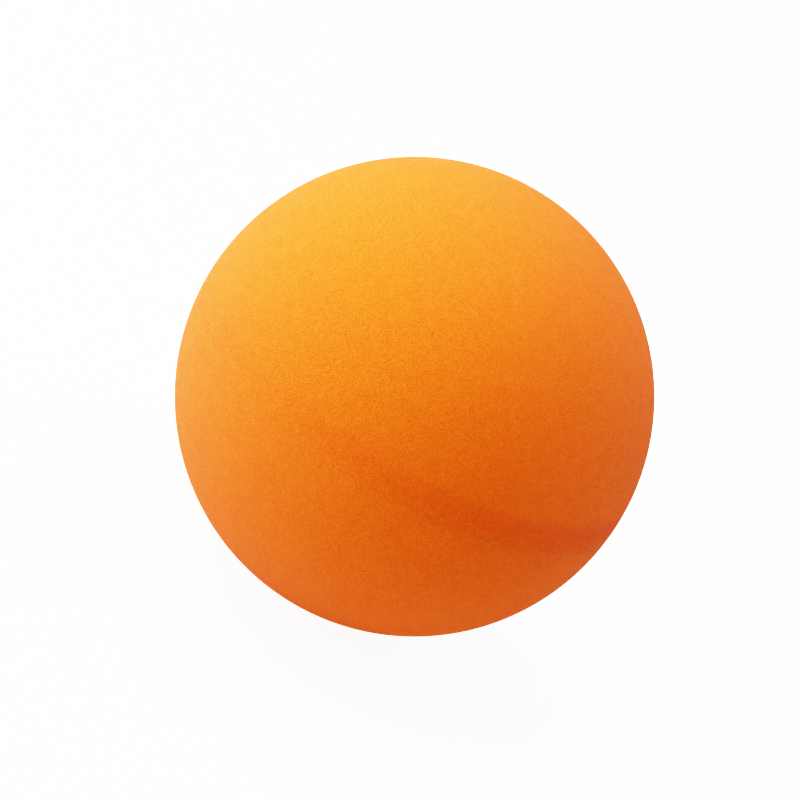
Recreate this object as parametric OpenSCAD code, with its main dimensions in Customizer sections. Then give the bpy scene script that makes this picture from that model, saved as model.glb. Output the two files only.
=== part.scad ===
// Table tennis ball: two pressed half shells, joined by a cemented lap at the seam.
// The edge of the lower shell is joggled inward to a tongue, and the upper shell's plain rim
// slides over that tongue. The cement fills the gap between them, and the outside is ground
// to one smooth sphere. Inside there is only air.
// Millimetres. The origin is the ball's centre, the seam plane is z = 0, and +Z is the
// seam's axis, towards the upper shell.

/* [Ball] */
// Outside diameter of the finished ball
ball_diameter = 40; // [36:0.1:56]
// Thickness of the plastic in both half shells
wall_thickness = 0.38; // [0.3:0.01:0.6]

/* [Lap joint] */
// Height of the tongue above the seam plane
lap_height = 2.4; // [1.2:0.1:3]
// Thickness of the tongue
tongue_thickness = 0.34; // [0.25:0.01:0.6]
// Depth below the seam plane at which the joggle starts to slope back to the wall
root_depth = 0.6; // [0.3:0.1:2]

/* [Cement] */
// Thickness of the cement film, up the lap and on the shells' butt faces
cement_film = 0.05; // [0.02:0.01:0.1]
// Radius of the bead of cement squeezed out above the tongue
cement_bead = 0.25; // [0.1:0.01:0.3]

/* [Hidden] */
$fn = 180;

orange_shell = "#ED8A2B";
orange_shell_shaded = "#E07A22";
cement_amber = "#D98A35";

ball_radius = ball_diameter / 2;
// The four spherical faces, from the outside in
wall_inside = ball_radius - wall_thickness;
tongue_outside = wall_inside - cement_film;
tongue_inside = tongue_outside - tongue_thickness;
// The joggle slopes at 45 degrees; its line runs this far each way from the tongue's root
joggle_reach = 2 * (wall_inside - tongue_inside);

// Distance from the seam's axis of a point at height z on a sphere of radius r
function reach(r, z) = sqrt(r * r - z * z);

// Half section of a solid ball of radius r, between the heights z_low and z_high
module ball_slice(r, z_low, z_high) {
    intersection() {
        circle(r);
        translate([0, z_low])
            square([ball_diameter, z_high - z_low]);
    }
}

// Everything below the joggle's slope, which crosses the tongue's inner face at the root's
// depth, and starts inside that face and ends outside the wall's so that it cuts both cleanly
module below_joggle() {
    root_x = reach(tongue_inside, root_depth);
    polygon([
        [0, joggle_reach - root_depth],
        [root_x - joggle_reach, joggle_reach - root_depth],
        [root_x + joggle_reach, -joggle_reach - root_depth],
        [root_x + joggle_reach, -ball_diameter],
        [0, -ball_diameter]
    ]);
}

// Section of the upper shell: a plain wall that starts one film above the seam plane
module upper_section() {
    difference() {
        ball_slice(ball_radius, cement_film, ball_diameter);
        circle(wall_inside);
    }
}

// Section of the lower shell: the wall below the seam plane and the tongue above it
module lower_section() {
    difference() {
        union() {
            ball_slice(ball_radius, -ball_diameter, 0);
            ball_slice(tongue_outside, -ball_diameter, lap_height);
        }
        circle(tongue_inside);
        intersection() {
            circle(wall_inside);
            below_joggle();
        }
    }
}

// Section of the cement: the butt film, the lap film, and the bead above the tongue's end
module cement_section() {
    difference() {
        union() {
            ball_slice(ball_radius, 0, cement_film);
            ball_slice(wall_inside, 0, lap_height);
            intersection() {
                circle(wall_inside);
                translate([reach(wall_inside, lap_height), lap_height])
                    circle(cement_bead);
            }
        }
        ball_slice(tongue_outside, -ball_diameter, lap_height);
    }
}

module upper_half_shell() {
    color(orange_shell)
        rotate_extrude()
            upper_section();
}

module lower_half_shell() {
    color(orange_shell_shaded)
        rotate_extrude()
            lower_section();
}

module seam_cement() {
    color(cement_amber)
        rotate_extrude()
            cement_section();
}

upper_half_shell();
lower_half_shell();
seam_cement();
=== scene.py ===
# %% [markdown]
# # A table tennis ball
# The real ball is two thin half shells pressed from a warm sheet of orange celluloid. One edge
# is joggled inward to a tongue, the other shell's rim slides over it, and solvent cement makes
# the two into one. The joint is ground flush and the ball is tumbled until its skin is evenly
# matt. This file builds the two shells and the cement ring as closed solids with their true
# walls, because the thin plastic lets light through: the glow of the shaded side and the soft
# band at the doubled wall of the seam both come from the shells' own thickness.

# %% Load the frame
import math

import bmesh
import bpy
from mathutils import Matrix, Vector


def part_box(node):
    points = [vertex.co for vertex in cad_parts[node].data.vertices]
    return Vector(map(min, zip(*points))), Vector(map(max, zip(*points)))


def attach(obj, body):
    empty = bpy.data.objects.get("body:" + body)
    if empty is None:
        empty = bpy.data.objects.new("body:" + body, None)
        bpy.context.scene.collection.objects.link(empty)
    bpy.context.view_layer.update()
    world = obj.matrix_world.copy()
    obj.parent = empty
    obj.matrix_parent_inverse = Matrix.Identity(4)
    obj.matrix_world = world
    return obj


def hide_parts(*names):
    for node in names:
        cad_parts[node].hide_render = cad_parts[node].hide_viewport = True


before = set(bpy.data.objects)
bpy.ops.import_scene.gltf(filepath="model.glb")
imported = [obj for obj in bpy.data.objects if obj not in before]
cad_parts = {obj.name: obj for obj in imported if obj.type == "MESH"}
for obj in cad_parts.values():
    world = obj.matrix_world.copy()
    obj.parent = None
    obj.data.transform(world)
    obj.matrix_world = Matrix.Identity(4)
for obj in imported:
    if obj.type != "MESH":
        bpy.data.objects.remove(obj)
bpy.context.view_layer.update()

# %% [markdown]
# ## Sizes
# The CAD nodes give the ball's radius, the height of the tongue and the place of the cement,
# so those are read from the frame. The wall and the tongue are inside, where a box can't show
# them, so their thicknesses are named here.

# %% Sizes
MM = 0.001

shell_low, shell_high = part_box("upper_half_shell")
tongue_low, tongue_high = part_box("lower_half_shell")
cement_low, cement_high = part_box("seam_cement")

ball_radius = shell_high[2]
butt_film = shell_low[2]
lap_height = tongue_high[2]
bead_top = cement_high[2]

wall_thickness = 0.38 * MM
tongue_thickness = 0.34 * MM
cement_film = 0.05 * MM
root_depth = 0.6 * MM

wall_inside = ball_radius - wall_thickness
tongue_outside = wall_inside - cement_film
tongue_inside = tongue_outside - tongue_thickness
print("Radius in mm:", ball_radius / MM, " tongue height in mm:", lap_height / MM)

# %% [markdown]
# ## Turned pieces
# Every piece of the ball is a body of revolution, as if turned on a lathe. A turned body could
# be made by subdividing a cube into a ball, by a Screw modifier, or by spinning a section. The
# section is spun here, because it keeps the thin wall and the tongue exact. Each curved face of
# the section is an arc about the ball's centre, so one point is spun to an arc, the arcs are
# joined by short straight edges, and the closed outline is spun once round the seam's axis.

# %% Helpers for a turned piece
ROUND_STEPS = 240
ARC_STEP = math.radians(1.5)
CREASE = math.radians(25)
WELD = 0.0002 * MM
SEAM_AXIS = Vector((0, 0, 1))
SECTION_AXIS = Vector((0, -1, 0))
CENTRE = Vector((0, 0, 0))


def on_sphere(radius, height):
    """The point of the section at a height, on a sphere about the ball's centre."""
    return Vector((math.sqrt(max(radius * radius - height * height, 0.0)), 0, height))


def arc(section, radius, start, end):
    """Spins a point from one height to another round the ball's centre, and returns both ends."""
    first = section.verts.new(on_sphere(radius, start))
    turn = math.asin(end / radius) - math.asin(start / radius)
    steps = max(2, round(abs(turn) / ARC_STEP))
    spun = bmesh.ops.spin(
        section, geom=[first], cent=CENTRE, axis=SECTION_AXIS, angle=turn, steps=steps
    )
    last = next(part for part in spun["geom_last"] if isinstance(part, bmesh.types.BMVert))
    return first, last


def turn_outline(section, name):
    """Spins a closed outline once round the seam's axis and makes the piece's object."""
    bmesh.ops.spin(
        section,
        geom=section.verts[:] + section.edges[:],
        cent=CENTRE,
        axis=SEAM_AXIS,
        angle=2 * math.pi,
        steps=ROUND_STEPS,
        use_merge=True,
    )
    bmesh.ops.remove_doubles(section, verts=section.verts, dist=WELD)
    bmesh.ops.recalc_face_normals(section, faces=section.faces)
    for face in section.faces:
        face.smooth = True
    for edge in section.edges:
        edge.smooth = edge.calc_face_angle(0.0) < CREASE
    mesh = bpy.data.meshes.new(name)
    section.to_mesh(mesh)
    section.free()
    piece = bpy.data.objects.new(name, mesh)
    bpy.context.collection.objects.link(piece)
    triangles = sum(len(face.vertices) - 2 for face in mesh.polygons)
    print(name, "has", triangles, "triangles")
    return piece


# %% [markdown]
# ## The upper half shell
# The upper shell is a plain pressed cup: the outer face, the inner face and a flat rim that
# starts one film of cement above the seam plane.

# %% The upper half shell
section = bmesh.new()
outer_rim, outer_pole = arc(section, ball_radius, butt_film, ball_radius)
inner_rim, inner_pole = arc(section, wall_inside, butt_film, wall_inside)
section.edges.new((outer_rim, inner_rim))
upper_shell = turn_outline(section, "upper_shell")

# %% [markdown]
# ## The lower half shell
# The lower shell is the same cup turned over, and its edge is joggled inward: below the seam
# plane the wall thickens to the root, and above it the tongue goes on alone, inside the upper
# shell. Its outer face lies one film of cement inside the socket. The sheet is pressed warm,
# so the inner face runs from the wall to the tongue in an easy S, and half a cosine wave draws
# that S without a crease that would show as a line in the light.

# %% The lower half shell
JOGGLE_STEPS = 10
joggle_depth = wall_inside - tongue_inside
joggle_foot = -root_depth - 2 * joggle_depth


def joggle(section, start, end):
    """Joins the tongue's root to the wall below it by half a cosine wave."""
    previous = start
    for step in range(1, JOGGLE_STEPS):
        share = step / JOGGLE_STEPS
        ease = (1 - math.cos(math.pi * share)) / 2
        height = -root_depth + (joggle_foot + root_depth) * share
        point = section.verts.new(on_sphere(tongue_inside + joggle_depth * ease, height))
        section.edges.new((previous, point))
        previous = point
    section.edges.new((previous, end))


section = bmesh.new()
outer_pole, shoulder_outer = arc(section, ball_radius, -ball_radius, 0)
shoulder_inner, tongue_tip_outer = arc(section, tongue_outside, 0, lap_height)
tongue_tip_inner, root = arc(section, tongue_inside, lap_height, -root_depth)
wall_start, inner_pole = arc(section, wall_inside, joggle_foot, -wall_inside)
section.edges.new((shoulder_outer, shoulder_inner))
section.edges.new((tongue_tip_outer, tongue_tip_inner))
joggle(section, root, wall_start)
lower_shell = turn_outline(section, "lower_shell")

# %% [markdown]
# ## The seam cement
# The cement is what is left of the solvent glue: a ring with a flange that fills the butt
# joint, a film up the lap, and a small round bead that was squeezed out above the tongue.

# %% The seam cement
CLEAR = 0.004 * MM
bead_radius = bead_top - lap_height

section = bmesh.new()
film_radius = wall_inside - CLEAR
flange_low, flange_high = arc(section, ball_radius - CLEAR, CLEAR, butt_film - CLEAR)
socket_low, bead_side = arc(section, film_radius, butt_film - CLEAR, bead_top - CLEAR)
tongue_side, lap_side = arc(section, tongue_outside + CLEAR, CLEAR, lap_height + CLEAR)
bead_edge = section.verts.new(on_sphere(film_radius, lap_height) - Vector((bead_radius, 0, -CLEAR)))
section.edges.new((flange_low, tongue_side))
section.edges.new((flange_high, socket_low))
section.edges.new((lap_side, bead_edge))
section.edges.new((bead_edge, bead_side))
cement_ring = turn_outline(section, "cement_ring")

# %% [markdown]
# ## Fitting the pieces to the frame
# The CAD solids stay in the physics model. Each turned piece rides on the ball's one body and
# stands for the CAD node that has its place.

# %% Fit the pieces to the frame
for piece, node, finish in (
    (upper_shell, "upper_half_shell", "orange_celluloid"),
    (lower_shell, "lower_half_shell", "orange_celluloid"),
    (cement_ring, "seam_cement", "cured_cement"),
):
    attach(piece, "root")
    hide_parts(node)

# %% [markdown]
# ## Helpers for the finishes
# A finish is a small tree of nodes. Colours are chosen as sRGB hex values and turned to linear
# light once, and each pattern's scale is worked out from a real size in millimetres.

# %% Helpers for the finishes
WHITE = "FFFFFF"
BLACK = "000000"
COLOUR_A = 6
COLOUR_B = 7
COLOUR_OUT = 2


def srgb(hex_code):
    """A linear colour from an sRGB hex code such as ED8A2B."""
    parts = [int(hex_code[i : i + 2], 16) / 255 for i in (0, 2, 4)]
    linear = [p / 12.92 if p <= 0.04045 else ((p + 0.055) / 1.055) ** 2.4 for p in parts]
    return (*linear, 1.0)


def per_metre(size_mm):
    """The scale of a texture whose features are this many millimetres across."""
    return 1 / (size_mm * MM)


def add(tree, kind, settings=None, links=None):
    """Adds a node, with its properties, its socket values and the sockets that feed it.

    Sockets that share a name with another one of the node are given by number.
    """
    node = tree.nodes.new(kind)
    for key, value in (settings or {}).items():
        if isinstance(key, int) or key in node.inputs:
            node.inputs[key].default_value = value
        else:
            setattr(node, key, value)
    for key, source in (links or {}).items():
        tree.links.new(source, node.inputs[key])
    return node


def new_finish(name):
    """An empty material and its tree."""
    material = bpy.data.materials.new(name)
    material.use_nodes = True
    material.node_tree.nodes.clear()
    return material, material.node_tree


# %% [markdown]
# ## The dye and its speckle
# Celluloid is cellulose nitrate dyed in the mass before it is rolled to sheet. The dye is
# never perfectly even, and each pit of the tumbled skin shows it deeper or paler, so the
# orange is a fine speckle over a faint, larger mottle. An image texture or one flat colour
# could stand for it. Two noises on the ball's own coordinates are used, because they keep
# their real size and don't stretch at the poles. The real pits are a few hundredths of a
# millimetre across, so the grain is drawn about twice as coarse as it is, and deeper, to show.

# %% The dye and its speckle
GRAIN_MM = 0.095
MOTTLE_MM = 1.2
DYE_DEEP = "E87B08"
DYE_PALE = "FF9424"
DEEPEST_AT = 0.465
PALEST_AT = 0.655
MOTTLE_SHARE = 0.12
NOISE_ROUGHNESS = 0.6

celluloid, tree = new_finish("orange_celluloid_tumbled")
place = add(tree, "ShaderNodeTexCoord").outputs["Object"]
grain = add(
    tree,
    "ShaderNodeTexNoise",
    {"Scale": per_metre(GRAIN_MM), "Detail": 1.0, "Roughness": NOISE_ROUGHNESS},
    {"Vector": place},
).outputs["Fac"]
mottle = add(
    tree,
    "ShaderNodeTexNoise",
    {"Scale": per_metre(MOTTLE_MM), "Detail": 3.0, "Roughness": NOISE_ROUGHNESS},
    {"Vector": place},
).outputs["Fac"]
speckle = add(
    tree,
    "ShaderNodeMath",
    {"operation": "MULTIPLY_ADD", 1: MOTTLE_SHARE},
    {0: mottle, 2: grain},
).outputs["Value"]
paleness = add(
    tree,
    "ShaderNodeMapRange",
    {"From Min": DEEPEST_AT, "From Max": PALEST_AT},
    {"Value": speckle},
).outputs["Result"]
dyed = add(
    tree,
    "ShaderNodeMix",
    {"data_type": "RGBA", COLOUR_A: srgb(DYE_DEEP), COLOUR_B: srgb(DYE_PALE)},
    {0: paleness},
).outputs[COLOUR_OUT]
print("Grain of", GRAIN_MM, "mm between", DYE_DEEP, "and", DYE_PALE)

# %% [markdown]
# ## A few specks of dust
# Dust and undissolved dye get rolled into the sheet, and a close look finds a dark speck every
# few millimetres. Specks could be laid by hand, but a Voronoi pattern scatters them over the
# whole ball. Only those whose centre lies near the skin show, and at different sizes.

# %% A few specks of dust
SPECK_EVERY_MM = 3.5
SPECK_ACROSS_MM = 0.26
SPECK_CORE = 0.6
SPECK_DEPTH = 0.6
DUST = "7A3F12"

to_speck = add(
    tree,
    "ShaderNodeTexVoronoi",
    {"Scale": per_metre(SPECK_EVERY_MM)},
    {"Vector": place},
).outputs["Distance"]
speck_radius = SPECK_ACROSS_MM / SPECK_EVERY_MM / 2
in_speck = add(
    tree,
    "ShaderNodeMapRange",
    {
        "From Min": speck_radius,
        "From Max": speck_radius * SPECK_CORE,
        "To Max": SPECK_DEPTH,
    },
    {"Value": to_speck},
).outputs["Result"]
dusted = add(
    tree,
    "ShaderNodeMix",
    {"data_type": "RGBA", COLOUR_B: srgb(DUST)},
    {0: in_speck, COLOUR_A: dyed},
).outputs[COLOUR_OUT]
print("Specks up to", SPECK_ACROSS_MM, "mm, about", SPECK_EVERY_MM, "mm apart")

# %% [markdown]
# ## Tumbled celluloid
# Celluloid is translucent, with a refractive index of 1.50. Part of the light that meets the
# wall is thrown back, and part goes through, fills the hollow, and glows out again all round,
# redder than it went in. That is why the shaded side of the ball is a deep warm orange and
# never dark. Subsurface scattering can't cross a hollow, and real absorption in so thin a wall
# would need very many samples, so the skin is a mix of a Principled shader for the light thrown
# back and a Translucent one for the light let through. Tumbling with abrasive leaves an even,
# fine pitting: a high roughness and a low specular level take away any highlight, a little
# sheen gives the soft bloom at the ball's edge, and the bump gives each pit its shade.

# %% Tumbled celluloid
LET_THROUGH = 0.34
PIT_DEPTH_MM = 0.12
GLOW_DEEP = "F6A046"
GLOW_PALE = "FFBE68"
SKIN_ROUGHNESS = 0.8
CELLULOID_IOR = 1.5
SPECULAR_LEVEL = 0.2
SHEEN_WEIGHT = 0.2
SHEEN_ROUGHNESS = 0.6

bump = add(
    tree,
    "ShaderNodeBump",
    {"Strength": 1.0, "Distance": PIT_DEPTH_MM * MM},
    {"Height": grain},
).outputs["Normal"]
skin = add(
    tree,
    "ShaderNodeBsdfPrincipled",
    {
        "Roughness": SKIN_ROUGHNESS,
        "IOR": CELLULOID_IOR,
        "Specular IOR Level": SPECULAR_LEVEL,
        "Sheen Weight": SHEEN_WEIGHT,
        "Sheen Roughness": SHEEN_ROUGHNESS,
    },
    {"Base Color": dusted, "Normal": bump},
)
glow_colour = add(
    tree,
    "ShaderNodeMix",
    {"data_type": "RGBA", COLOUR_A: srgb(GLOW_DEEP), COLOUR_B: srgb(GLOW_PALE)},
    {0: paleness},
).outputs[COLOUR_OUT]
glow = add(tree, "ShaderNodeBsdfTranslucent", {}, {"Color": glow_colour})
wall = add(
    tree,
    "ShaderNodeMixShader",
    {"Fac": LET_THROUGH},
    {1: skin.outputs["BSDF"], 2: glow.outputs["BSDF"]},
)
add(tree, "ShaderNodeOutputMaterial", {}, {"Surface": wall.outputs["Shader"]})
print("The wall lets", LET_THROUGH, "of the light through")

# %% [markdown]
# ## Pressed inner face
# The inside of each shell is as it left the press. The outer face's finish already takes what
# the wall absorbs, so the inner face only has to spread the light that passes it. A clear face
# would do the same, but would make the hollow noisy, so it is a white Translucent one.

# %% Pressed inner face
pressed, tree = new_finish("celluloid_pressed_inside")
through = add(tree, "ShaderNodeBsdfTranslucent", {"Color": srgb(WHITE)})
add(tree, "ShaderNodeOutputMaterial", {}, {"Surface": through.outputs["BSDF"]})
print("Inner faces spread light through, colour", WHITE)

# %% [markdown]
# ## Cemented lap
# Where the tongue lies under the upper shell's rim, light from the hollow has to pass two walls
# and the cement. The second wall takes most of the green out of it and a little of the red, so
# the seam shows from outside as a soft, redder band, firmer at the butt. It could be painted
# on the skin as a stripe. It is given to the tongue's outer face instead, so the band comes from
# the joint itself and fades where more light falls on the skin. Solvent softens the rim most,
# so the band comes on over the first millimetre above the butt. On top of that, the band's
# strength is painted to fall off across the ball: faint on the side the soft boxes light and
# deep on the shaded side, as painted light and shade.

# %% Cemented lap
LAP_BUTT = "FFE6D0"
LAP_CLOSED = "F82010"
LAP_BACK = "FFAA59"
LAP_COMES_ON_MM = 1.1
# The next two numbers set a painted fade of the band: faint on the lit side at -X, towards the soft
# boxes, and deep on the shaded side at +X.
BAND_ON_LIT_SIDE = 0.1
BAND_ON_SHADED_SIDE = 1.1
SHARE_THROUGH_CLOSED = 0.72

lap, tree = new_finish("celluloid_cemented_lap")
place = add(tree, "ShaderNodeTexCoord").outputs["Object"]
axes = add(tree, "ShaderNodeSeparateXYZ", {}, {"Vector": place})
above_butt = add(
    tree,
    "ShaderNodeMapRange",
    {"interpolation_type": "SMOOTHSTEP", "From Min": 0.0, "From Max": LAP_COMES_ON_MM * MM},
    {"Value": axes.outputs["Z"]},
).outputs["Result"]
# Painted light and shade: the band fades across the ball, faint where the soft boxes light it and
# deep on the shaded side.
painted_side_fade = add(
    tree,
    "ShaderNodeMapRange",
    {"From Min": -ball_radius, "From Max": ball_radius, "To Min": BAND_ON_LIT_SIDE, "To Max": BAND_ON_SHADED_SIDE},
    {"Value": axes.outputs["X"]},
).outputs["Result"]
# The band's strength: the lap closing above the butt, times the painted fade across the ball.
lap_and_painted_fade = add(
    tree,
    "ShaderNodeMath",
    {"operation": "MULTIPLY"},
    {0: above_butt, 1: painted_side_fade},
).outputs["Value"]
lap_colour = add(
    tree,
    "ShaderNodeMix",
    {"data_type": "RGBA", COLOUR_A: srgb(LAP_BUTT), COLOUR_B: srgb(LAP_CLOSED)},
    {0: lap_and_painted_fade},
).outputs[COLOUR_OUT]
back = add(tree, "ShaderNodeBsdfDiffuse", {"Color": srgb(LAP_BACK)})
through = add(tree, "ShaderNodeBsdfTranslucent", {}, {"Color": lap_colour})
share_through = add(
    tree,
    "ShaderNodeMapRange",
    {"To Min": 1.0, "To Max": SHARE_THROUGH_CLOSED},
    {"Value": lap_and_painted_fade},
).outputs["Result"]
both = add(
    tree,
    "ShaderNodeMixShader",
    {},
    {"Fac": share_through, 1: back.outputs["BSDF"], 2: through.outputs["BSDF"]},
)
add(tree, "ShaderNodeOutputMaterial", {}, {"Surface": both.outputs["Shader"]})
print("The lap closes", LAP_COMES_ON_MM, "mm above the butt")

# %% [markdown]
# ## Laying the finishes
# Each face gets its finish by its depth below the skin. The shells' butt faces are dyed right
# through, so they belong to the skin, and the cement between them is clear.

# %% Lay the finishes on the faces
SKIN, INSIDE, LAP = 0, 1, 2
skin_starts = ball_radius - wall_thickness / 4
lap_starts = tongue_outside - tongue_thickness / 4
butt_starts = wall_inside + cement_film
for piece in (upper_shell, lower_shell, cement_ring):
    for material in (celluloid, pressed, lap):
        piece.data.materials.append(material)
    for face in piece.data.polygons:
        middle = Vector(face.center)
        depth = middle.length
        on_butt = depth > butt_starts and 0 <= middle.z <= butt_film
        if depth > skin_starts or (on_butt and piece is not cement_ring):
            face.material_index = SKIN
        elif piece is lower_shell and depth > lap_starts and middle.z > 0:
            face.material_index = LAP
        else:
            face.material_index = INSIDE
    laid = [face.material_index for face in piece.data.polygons]
    print(piece.name, "skin, inside and lap:", [laid.count(n) for n in (SKIN, INSIDE, LAP)])

# %% [markdown]
# ## The camera
# The camera looks a little down on the ball from close by, and is turned about its own line of
# sight, so that the seam's axis leans over in the view. It could be aimed by a constraint, but
# its matrix is worked out here, because the turn about the line of sight needs it anyway.

# %% The camera
VIEW_DISTANCE = 0.175
VIEW_ELEVATION = math.radians(22)
VIEW_ROLL = math.radians(32)
LENS = 93.9
SENSOR = 36
SHIFT_ACROSS = -0.0182
SHIFT_UP = -0.0042
NEAREST = 0.01
FARTHEST = 10

toward_camera = Vector((0, -math.cos(VIEW_ELEVATION), math.sin(VIEW_ELEVATION)))
camera_data = bpy.data.cameras.new("camera")
camera_data.lens = LENS
camera_data.sensor_width = SENSOR
camera_data.clip_start = NEAREST
camera_data.clip_end = FARTHEST
camera_data.shift_x = SHIFT_ACROSS
camera_data.shift_y = SHIFT_UP
camera = bpy.data.objects.new("camera", camera_data)
bpy.context.collection.objects.link(camera)
upright = (-toward_camera).to_track_quat("-Z", "Y").to_matrix()
rolled = upright @ Matrix.Rotation(VIEW_ROLL, 3, "Z")
camera.matrix_world = Matrix.Translation(toward_camera * VIEW_DISTANCE) @ rolled.to_4x4()
bpy.context.scene.camera = camera
print("The camera stands at", [round(place, 3) for place in camera.matrix_world.translation])

# %% [markdown]
# ## The floor
# The ball rests on a plain sheet of white paper on a light table, so it throws no hard shadow
# and its underside is lit as well. The sheet is so bright that a camera records it as plain
# white, so a Light Path node adds to it for the camera alone. That belongs to the stage, and
# the ball's own finishes have nothing like it.

# %% The floor
PAPER = "B3B3B3"
FLOOR_RADIUS = 3
LIT_FROM_BELOW = 0.5
BURNT_OUT = 1.4

bpy.ops.mesh.primitive_circle_add(vertices=96, radius=FLOOR_RADIUS, fill_type="NGON")
floor = bpy.context.object
floor.name = "floor"
floor.location = (0, 0, -ball_radius)
paper, tree = new_finish("white_paper")
sheet = add(tree, "ShaderNodeBsdfDiffuse", {"Color": srgb(PAPER)})
seen = add(tree, "ShaderNodeLightPath").outputs["Is Camera Ray"]
strength = add(
    tree,
    "ShaderNodeMapRange",
    {"To Min": LIT_FROM_BELOW, "To Max": LIT_FROM_BELOW + BURNT_OUT},
    {"Value": seen},
).outputs["Result"]
lit_from_below = add(tree, "ShaderNodeEmission", {}, {"Strength": strength})
both = add(
    tree,
    "ShaderNodeAddShader",
    {},
    {0: sheet.outputs["BSDF"], 1: lit_from_below.outputs["Emission"]},
)
add(tree, "ShaderNodeOutputMaterial", {}, {"Surface": both.outputs["Shader"]})
floor.data.materials.append(paper)
print("The floor lies at", floor.location.z, "m")

# %% [markdown]
# ## The lights
# Six square soft boxes stand round the ball at one distance, most of them overhead and to the
# left, so the light falls off smoothly towards the lower right. Each one is given by where it
# stands: its turn from the front, clockwise from above, its height as an angle, and its watts.

# %% The lights
BOX_DISTANCE = 0.6
BOX_SIZE = 0.35


def soft_box(name, turn, height, watts):
    """A square soft box that looks at the ball."""
    turn = math.radians(turn)
    height = math.radians(height)
    level = math.cos(height)
    aim = Vector((-math.sin(turn) * level, -math.cos(turn) * level, math.sin(height)))
    data = bpy.data.lights.new(name, "AREA")
    data.size = BOX_SIZE
    data.energy = watts
    light = bpy.data.objects.new(name, data)
    bpy.context.collection.objects.link(light)
    light.location = aim * BOX_DISTANCE
    light.rotation_mode = "QUATERNION"
    light.rotation_quaternion = aim.to_track_quat("Z", "Y")
    light.visible_camera = False
    return light


for name, turn, height, watts in (
    ("left_low", 72, 8, 4.2),
    ("left_high", 90, 32, 4.0),
    ("front_left_overhead", 60, 58, 3.1),
    ("back_left_overhead", 120, 58, 2.5),
    ("back_right_overhead", 240, 58, 1.5),
    ("top", 0, 88, 2.5),
):
    light = soft_box(name, turn, height, watts)
    print(name, "stands at", [round(place, 2) for place in light.location])

# %% [markdown]
# ## The room
# The soft boxes do all the lighting, so the room itself sends no light to the ball. Only what
# the camera sees straight past the floor's edge is white, through a Light Path node.

# %% The room
ROOM_WHITE = 1.9

world = bpy.data.worlds.new("room")
world.use_nodes = True
tree = world.node_tree
tree.nodes.clear()
seen = add(tree, "ShaderNodeLightPath").outputs["Is Camera Ray"]
dark = add(tree, "ShaderNodeBackground", {"Color": srgb(BLACK)})
white = add(tree, "ShaderNodeBackground", {"Color": srgb(WHITE), "Strength": ROOM_WHITE})
both = add(
    tree,
    "ShaderNodeMixShader",
    {},
    {"Fac": seen, 1: dark.outputs["Background"], 2: white.outputs["Background"]},
)
add(tree, "ShaderNodeOutputWorld", {}, {"Surface": both.outputs["Shader"]})
bpy.context.scene.world = world
print("The room is white to the camera only, at", ROOM_WHITE)

# %% [markdown]
# ## Bounces
# Light that gets into the hollow goes round many times before it leaves, so the paths are
# allowed more bounces than a scene of solid things needs.

# %% Bounces
cycles = bpy.context.scene.cycles
cycles.max_bounces = 48
cycles.diffuse_bounces = 24
cycles.transmission_bounces = 32
print("Light may bounce", cycles.max_bounces, "times in all")

# %% [markdown]
# ## The view's tones
# A camera doesn't record light in a straight line. Its curve has a toe, which deepens the
# shadows and makes the dyed colour richer, and a shoulder, which lets the brightest tones run
# gently into white. The same curve is worked out here from its formula and laid over the view.

# %% The view's tones
TOE = 0.2
SHOULDER = 0.45
BRIGHTEST = 4.0
TONE_STEPS = 40


def recorded(light):
    """How bright a camera records this amount of light."""
    toned = light * light / (light + TOE)
    if toned < SHOULDER:
        return toned
    room = 1 - SHOULDER
    return SHOULDER + room * (1 - math.exp(-(toned - SHOULDER) / room))


view = bpy.context.scene.view_settings
view.view_transform = "Standard"
view.use_curve_mapping = True
view.curve_mapping.white_level = (BRIGHTEST, BRIGHTEST, BRIGHTEST)
tones = view.curve_mapping.curves[3]
for step in range(1, TONE_STEPS):
    share = (step / TONE_STEPS) ** 2
    tones.points.new(share, recorded(share * BRIGHTEST))
view.curve_mapping.update()
print("Middle grey is recorded as", round(recorded(0.18), 3))
